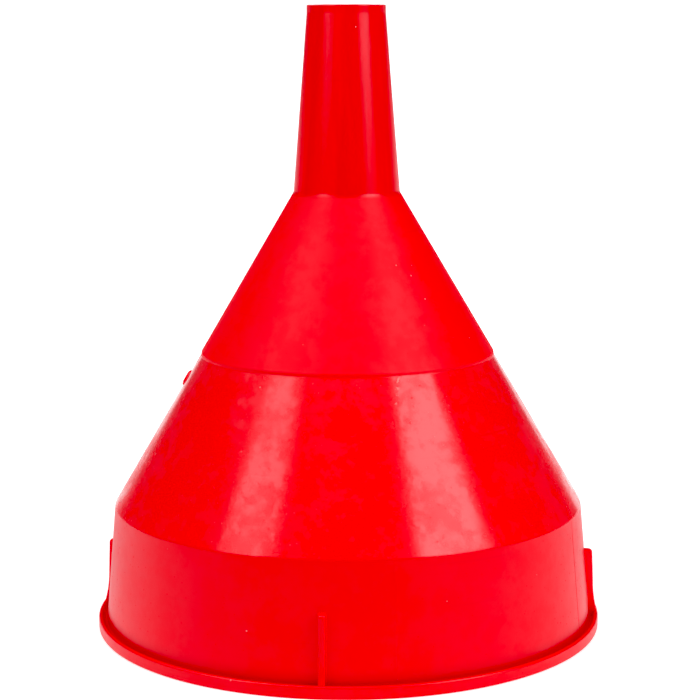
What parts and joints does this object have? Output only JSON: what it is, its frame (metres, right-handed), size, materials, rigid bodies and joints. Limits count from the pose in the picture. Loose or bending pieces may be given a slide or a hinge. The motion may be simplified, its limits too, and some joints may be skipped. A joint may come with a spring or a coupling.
{
  "type": "canning funnel",
  "caption": "Moulded plastic filling funnel with a narrow tapered spout, a stepped cone, a ribbed straight skirt and rim, and a lift-out gauze strainer seated inside the cone.",
  "frame": {"origin": "centre of the mouth rim's flat face, which the funnel stands on", "axes": "+Z along the funnel's axis from the mouth to the spout tip; the four ribs on the skirt lie on the X and Y axes"},
  "size_m": [0.16, 0.16, 0.1949],
  "materials": {
    "red_polyethylene": "moulded polyethylene, glossy on the lower cone and spout, satin on the upper cone",
    "white_polyethylene": "natural white moulded polyethylene, satin",
    "woven_steel": "plain-woven stainless wire"
  },
  "bodies": {
    "funnel": {"funnel_body": "red_polyethylene"},
    "strainer": {"strainer_frame": "white_polyethylene", "strainer_gauze": "woven_steel", "strainer_clamp_ring": "white_polyethylene"}
  },
  "joints": [
    {"name": "strainer_lift_out", "type": "slide", "parent": "funnel", "child": "strainer", "axis": [0, 0, -1], "range_m": [0, 0.095]}
  ]
}
